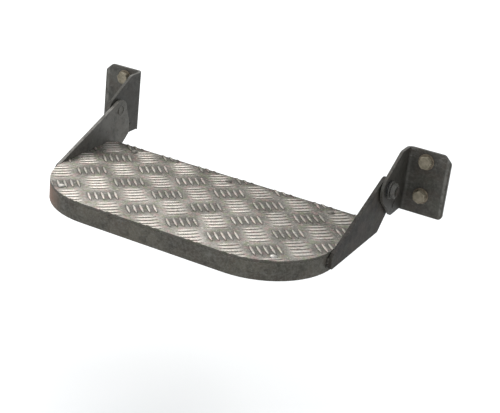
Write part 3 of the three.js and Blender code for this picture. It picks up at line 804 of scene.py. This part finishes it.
def make_rivet(node, material):
    """A domed head on the tread, with the small flat that the setting tool leaves, and its tail."""
    low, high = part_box(node)
    centre = (low + high) / 2
    head = (high.x - low.x) / 2
    seat = high.z - RIVET_DOME
    shank = head / 2
    tail = 0.62 * head
    belly = 0.74 * head  # the tail bulges between its two ends
    profile = [(0, low.z), (tail, low.z), (belly, low.z + 0.5 * MM)]
    profile += [(belly, low.z + 1.6 * MM), (tail, low.z + 2.3 * MM), (shank, low.z + 2.4 * MM)]
    profile += [(shank, seat), (head - 0.3 * MM, seat)]
    for k in range(9):
        angle = math.radians(80 * k / 8)
        profile.append((head * math.cos(angle), seat + RIVET_DOME * (0.08 + 0.92 * math.sin(angle))))
    profile.append((0, profile[-1][1] - 0.05 * MM))
    bm = bmesh.new()
    turn_profile(bm, profile, False, sides=40)
    bm.transform(Matrix.Translation((centre.x, centre.y, 0)))
    piece = add_piece(node + "_turned", bm, material, STEP)
    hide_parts(node)


# ---- welds ----------------------------------------------------------------------------------
def points_along(path, spacing):
    """The path's corners, with points about spacing apart between them."""
    points = []
    for a, b in zip(path, path[1:]):
        count = max(2, int((b - a).length / spacing))
        points += [a.lerp(b, k / count) for k in range(count)]
    points.append(path[-1])
    return points


def make_bead(name, path, radius, material, seed):
    """A weld bead along a path, humped by overlapping ripples and a little uneven."""
    points = points_along(path, BEAD_STEP)
    bm = bmesh.new()
    rings = []
    travelled = 0.0
    for k, point in enumerate(points):
        ahead = points[min(k + 1, len(points) - 1)]
        behind = points[max(k - 1, 0)]
        travelled += (point - behind).length
        turn = (ahead - behind).normalized().to_track_quat("Z", "Y").to_matrix()
        ripple = abs(math.sin(math.pi * travelled / BEAD_RIPPLE))
        uneven = noise.noise(Vector((seed, travelled / (4 * MM), 0)))
        end = min(1.0, (k + 1) / 4, (len(points) - k) / 4)
        reach = radius * (0.86 + 0.16 * ripple + 0.14 * uneven) * math.sqrt(end)
        ring = []
        for i in range(BEAD_SIDES):
            angle = 2 * math.pi * i / BEAD_SIDES
            around = Vector((reach * math.cos(angle), reach * math.sin(angle), 0))
            ring.append(bm.verts.new(point + turn @ around))
        rings.append(ring)
    for a, b in zip(rings, rings[1:]):
        for i in range(BEAD_SIDES):
            j = (i + 1) % BEAD_SIDES
            bm.faces.new((a[i], a[j], b[j], b[i]))
    bm.faces.new(rings[0][::-1])
    bm.faces.new(rings[-1])
    add_piece(name, bm, material, STEP)


def circle_path(centre, radius, axis, count=24):
    """A closed ring of points round centre, square to axis."""
    u = axis.orthogonal().normalized()
    v = axis.cross(u)
    turns = [2 * math.pi * k / count for k in range(count + 1)]
    return [centre + radius * (u * math.cos(a) + v * math.sin(a)) for a in turns]


def make_arm_welds(side_name, side, rim_paint, frame_paint):
    """A bead in the wedge between the arm's front end and the rim's bend, and two stitches below."""
    arm_low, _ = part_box(side_name + "_arm")
    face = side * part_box("rim_band")[1].x
    front = arm_low.y
    bottom = arm_low.z
    wedge_x = face - side * 0.7 * MM
    wedge_y = front + 0.9 * MM
    top = -7 * MM  # under the arm's slanted nose
    front_up = [Vector((wedge_x, wedge_y, bottom + 2 * MM)), Vector((wedge_x, wedge_y, top))]
    make_bead(side_name + "_arm_front_weld", front_up, ARM_FRONT_WELD_RADIUS, frame_paint, side)
    below = face + side * 0.5 * MM
    for k, distance in enumerate(STITCH_STARTS):
        start = front + distance
        stitch = [Vector((below, start, bottom - 0.2 * MM)),
                  Vector((below, start + STITCH_LENGTH, bottom - 0.2 * MM))]
        make_bead(f"{side_name}_arm_lower_weld_{k + 1}", stitch, SEAM_WELD_RADIUS, rim_paint, side + k)


def make_stud_weld(side_name, side, paint):
    """A ring round the pivot stud's inner end."""
    low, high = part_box(side_name + "_pivot_stud")
    stud = (low + high) / 2
    stud.x = side * (low.x if side > 0 else -high.x)
    ring = circle_path(stud, STUD_RADIUS + 0.6 * MM, Vector((1, 0, 0)))
    make_bead(side_name + "_stud_weld", ring, STUD_WELD_RADIUS, paint, side + 5)


def make_frame_welds(side_name, side, paint):
    """Upright beads at one end of the rear angle and at both ends of a rib."""
    angle_low, angle_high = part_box("rear_angle")
    inside = side * angle_high.x
    corner = [Vector((inside, angle_high.y - 4 * MM, angle_low.z + 2 * MM)),
              Vector((inside, angle_high.y - 4 * MM, angle_high.z - 5 * MM))]
    make_bead(side_name + "_rear_angle_weld", corner, SEAM_WELD_RADIUS, paint, side + 7)
    rib_low, rib_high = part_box(side_name + "_rib")
    x = rib_low.x if side > 0 else rib_high.x
    for k, (y, top) in enumerate(((rib_low.y, rib_high.z), (rib_high.y, rib_high.z - 8 * MM))):
        up = [Vector((x, y, rib_low.z + 1 * MM)), Vector((x, y, top - 1 * MM))]
        make_bead(f"{side_name}_rib_weld_{k + 1}", up, RIB_WELD_RADIUS, paint, side + 9 + k)


# ---- stage and light ------------------------------------------------------------------------
FLOOR_DROP = 0.26  # the step hangs this far above the floor


def make_floor():
    """A plain pale floor that sweeps up gently far behind the step."""
    bm = bmesh.new()
    half = 9.0
    front = -4.0
    row_spacing = 0.5
    level_until = 2.0
    rows = []
    for k in range(25):
        y = front + k * row_spacing
        rise = 0.045 * max(0.0, y - level_until) ** 2
        z = CAD_LOW.z - FLOOR_DROP + rise
        rows.append((bm.verts.new((-half, y, z)), bm.verts.new((half, y, z))))
    for a, b in zip(rows, rows[1:]):
        bm.faces.new((a[0], a[1], b[1], b[0])).smooth = True
    data = bpy.data.meshes.new("floor")
    bm.to_mesh(data)
    bm.free()
    s = Shader("floor", 0.0, 0.9)
    clouds = s.grain(0.8, 2)
    data.materials.append(s.finish(s.colour(clouds, rgb(0.85, 0.85, 0.84), rgb(0.88, 0.88, 0.87))))
    floor = bpy.data.objects.new("floor", data)
    bpy.context.scene.collection.objects.link(floor)


def add_light(name, place, aim, size, power, colour=(1, 1, 1)):
    """A rectangular lamp at place that shines towards aim."""
    data = bpy.data.lights.new(name, "AREA")
    data.shape = "RECTANGLE"
    data.size, data.size_y = size
    data.energy = power
    data.color = colour
    light = bpy.data.objects.new(name, data)
    bpy.context.scene.collection.objects.link(light)
    light.location = place
    light.rotation_mode = "QUATERNION"
    light.rotation_quaternion = (Vector(aim) - Vector(place)).to_track_quat("-Z", "Y")


def make_lights():
    """A pale sky, a key lamp from the rear left and a weak fill from the front."""
    world = bpy.data.worlds.new("sky")
    bpy.context.scene.world = world
    world.use_nodes = True
    sky = world.node_tree.nodes["Background"]
    sky.inputs["Color"].default_value = rgb(0.93, 0.96, 1.0)
    sky.inputs["Strength"].default_value = 1.0
    middle = (CAD_LOW + CAD_HIGH) / 2
    add_light("key", (-1.5, 1.4, 1.9), middle, (1.6, 1.0), 44, (1.0, 0.98, 0.95))
    add_light("fill", (-0.6, -2.2, 0.9), middle, (1.5, 1.5), 10)
    scene = bpy.context.scene
    scene.view_settings.view_transform = "Standard"


# ---- the whole step -------------------------------------------------------------------------
def worn_and_sheened_arm_top(share):
    """Marks an arm's narrow upper faces in front of the pivot, which feet and the tailgate rub, and which
    also take a painted highlight.
    """
    _, arm_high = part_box("left_arm")  # both arms reach equally far back

    def rubbed_and_sheen(face):
        before_pivot = face.calc_center_median().y < arm_high.y - ARM_WEAR_AND_SHEEN_END
        return share if face.normal.z > 0.7 and before_pivot else 0.0
    return rubbed_and_sheen


def worn_flange_edge(share):
    """Marks the narrow upright outer edges of a bracket's flange."""
    def rubbed_and_sheen(face):
        outermost = abs(face.calc_center_median().x) > CAD_HIGH.x - 2 * MM
        return share if outermost and abs(face.normal.x) > 0.3 else 0.0
    return rubbed_and_sheen


def make_paints():
    """Each painted part's own tone of the old black paint, with lit and shaded copies for the left and
    right arms and brackets.
    """
    return {
        "rim": painted_steel(
            "rim_paint", rgb(0.040, 0.036, 0.028), rgb(0.072, 0.066, 0.050),
            roughness=0.60, dustiness=0.25, rustiness=0.9, marks=rusty_rim_end,
        ),
        # The two arms are one paint: the left is given a lighter copy and the right a far darker one, as
        # painted light and shade.
        "left_arm": painted_steel(
            "left_arm_lit_paint", rgb(0.068, 0.065, 0.056), rgb(0.104, 0.099, 0.086),
            roughness=0.50, dustiness=0.14, rustiness=0.4,
        ),
        "right_arm": painted_steel(
            "right_arm_shaded_paint", rgb(0.0060, 0.0044, 0.0028), rgb(0.0120, 0.0092, 0.0060),
            roughness=0.65, dustiness=0.04, rustiness=0.6,
        ),
        # The two brackets likewise: a lighter copy on the left and a darker one on the right, as painted
        # light and shade.
        "left_bracket": painted_steel(
            "left_bracket_lit_paint", rgb(0.045, 0.043, 0.036), rgb(0.070, 0.067, 0.058),
            roughness=0.55, dustiness=0.14, rustiness=0.3, marks=bracket_marks,
        ),
        "right_bracket": painted_steel(
            "right_bracket_shaded_paint", rgb(0.030, 0.028, 0.0225), rgb(0.052, 0.048, 0.040),
            roughness=0.50, dustiness=0.14, rustiness=0.5, marks=bracket_marks,
        ),
        "frame": painted_steel(
            "frame_paint", rgb(0.022, 0.021, 0.018), rgb(0.040, 0.037, 0.031),
            roughness=0.55, dustiness=0.25, rustiness=1.0,
        ),
        "pivot": painted_steel(
            "pivot_paint", rgb(0.034, 0.033, 0.029), rgb(0.060, 0.058, 0.052),
            roughness=0.42, dustiness=0.20, rustiness=1.0,
        ),
    }


def make_metals():
    """The unpainted metals, each with its bright, dull and stained colour."""
    return {
        "zinc": plated_steel(
            "zinc_plate", rgb(0.25, 0.218, 0.16), rgb(0.17, 0.15, 0.105), rgb(0.13, 0.075, 0.05),
            metallic=0.4, roughness=0.6,
        ),
        "washer": plated_steel(
            "washer_zinc", rgb(0.20, 0.165, 0.12), rgb(0.11, 0.088, 0.06), rgb(0.08, 0.045, 0.025),
            metallic=0.5, roughness=0.55,
        ),
        "front_rivet": plated_steel(
            "rivet_metal", rgb(0.46, 0.44, 0.41), rgb(0.26, 0.25, 0.22), rgb(0.09, 0.08, 0.06),
            metallic=0.7, roughness=0.45,
        ),
        "rear_rivet": plated_steel(
            "dull_rivet_metal", rgb(0.20, 0.185, 0.16), rgb(0.10, 0.092, 0.078), rgb(0.05, 0.043, 0.032),
            metallic=0.6, roughness=0.6,
        ),
        "spring": plated_steel(
            "spring_steel", rgb(0.12, 0.12, 0.115), rgb(0.06, 0.06, 0.06), rgb(0.08, 0.04, 0.025),
            metallic=0.8, roughness=0.42,
        ),
        "bronze": plated_steel(
            "bearing_bronze", rgb(0.34, 0.22, 0.10), rgb(0.22, 0.14, 0.07), rgb(0.08, 0.05, 0.03),
            metallic=0.8, roughness=0.42,
        ),
    }


def make_tread_and_frame(paints, metals):
    """The tread with its bars and rivets, the rim, and the steel hidden under them."""
    dress("tread_plate", tread_plate_material(), STEP, 0.5 * MM)
    make_chequer_bars(tread_bar_material())
    dress("rim_band", paints["rim"], STEP, 0.7 * MM)
    for node in ("rear_angle", "left_rib", "right_rib", "left_front_lug", "right_front_lug"):
        dress(node, paints["frame"], STEP, 0.5 * MM)
    for name in ("front_left", "front_right"):
        make_rivet("rivet_" + name, metals["front_rivet"])
    for name in ("rear_left", "rear_middle", "rear_right"):
        make_rivet("rivet_" + name, metals["rear_rivet"])


def make_arm_and_bracket(side_name, paints):
    arm = side_name + "_arm"
    bracket = side_name + "_bracket"
    # rubbed paint on the arm's top, partly a painted highlight
    arm_wear_and_sheen = worn_and_sheened_arm_top(ARM_WEAR_AND_SHEEN[side_name])
    dress(arm, paints[arm], STEP, 0.7 * MM, arm_wear_and_sheen)
    dress(bracket, paints[bracket], MOUNT, 0.6 * MM, worn_flange_edge(FLANGE_WEAR))


def make_pivot(side_name, side, paints, metals):
    """The stack on one pivot, from the arm outwards, and the stop pin."""
    bore = STUD_RADIUS + 0.3 * MM
    bush_bore = STUD_RADIUS + 0.1 * MM
    make_ring(side_name + "_friction_washer", metals["bronze"], STEP, bore, 0.2 * MM)
    make_ring(side_name + "_pivot_bush", metals["bronze"], MOUNT, bush_bore, 0.3 * MM)
    make_ring(
        side_name + "_spring_washer", metals["spring"], STEP, bore, 0.2 * MM,
        dish=SPRING_DISH,
    )
    make_ring(side_name + "_pivot_washer", paints["pivot"], STEP, bore, 0.35 * MM)
    make_pivot_nut(side_name + "_pivot_nut", side, paints["pivot"])
    make_pivot_stud(side_name + "_pivot_stud", side, paints[side_name + "_arm"])
    make_stop_pin(side_name + "_stop_pin", side, paints[side_name + "_bracket"])


def make_object():
    """Every piece, in an order that keeps the bolts' random twists the same."""
    paints = make_paints()
    metals = make_metals()
    make_tread_and_frame(paints, metals)
    twists = random.Random(7)
    for side_name, side in SIDES.items():
        make_arm_and_bracket(side_name, paints)
        for height in ("upper", "lower"):
            fixing = f"{side_name}_{height}_mount_"
            make_mount_bolt(fixing + "bolt", metals["zinc"], math.radians(twists.uniform(-30, 30)))
            make_ring(fixing + "washer", metals["washer"], MOUNT, HOLE_RADIUS, 0.35 * MM)
        make_pivot(side_name, side, paints, metals)
    for side_name, side in SIDES.items():
        make_arm_welds(side_name, side, paints["rim"], paints["frame"])
        make_stud_weld(side_name, side, paints[side_name + "_arm"])
        make_frame_welds(side_name, side, paints["frame"])


make_camera()
make_floor()
make_lights()
make_object()
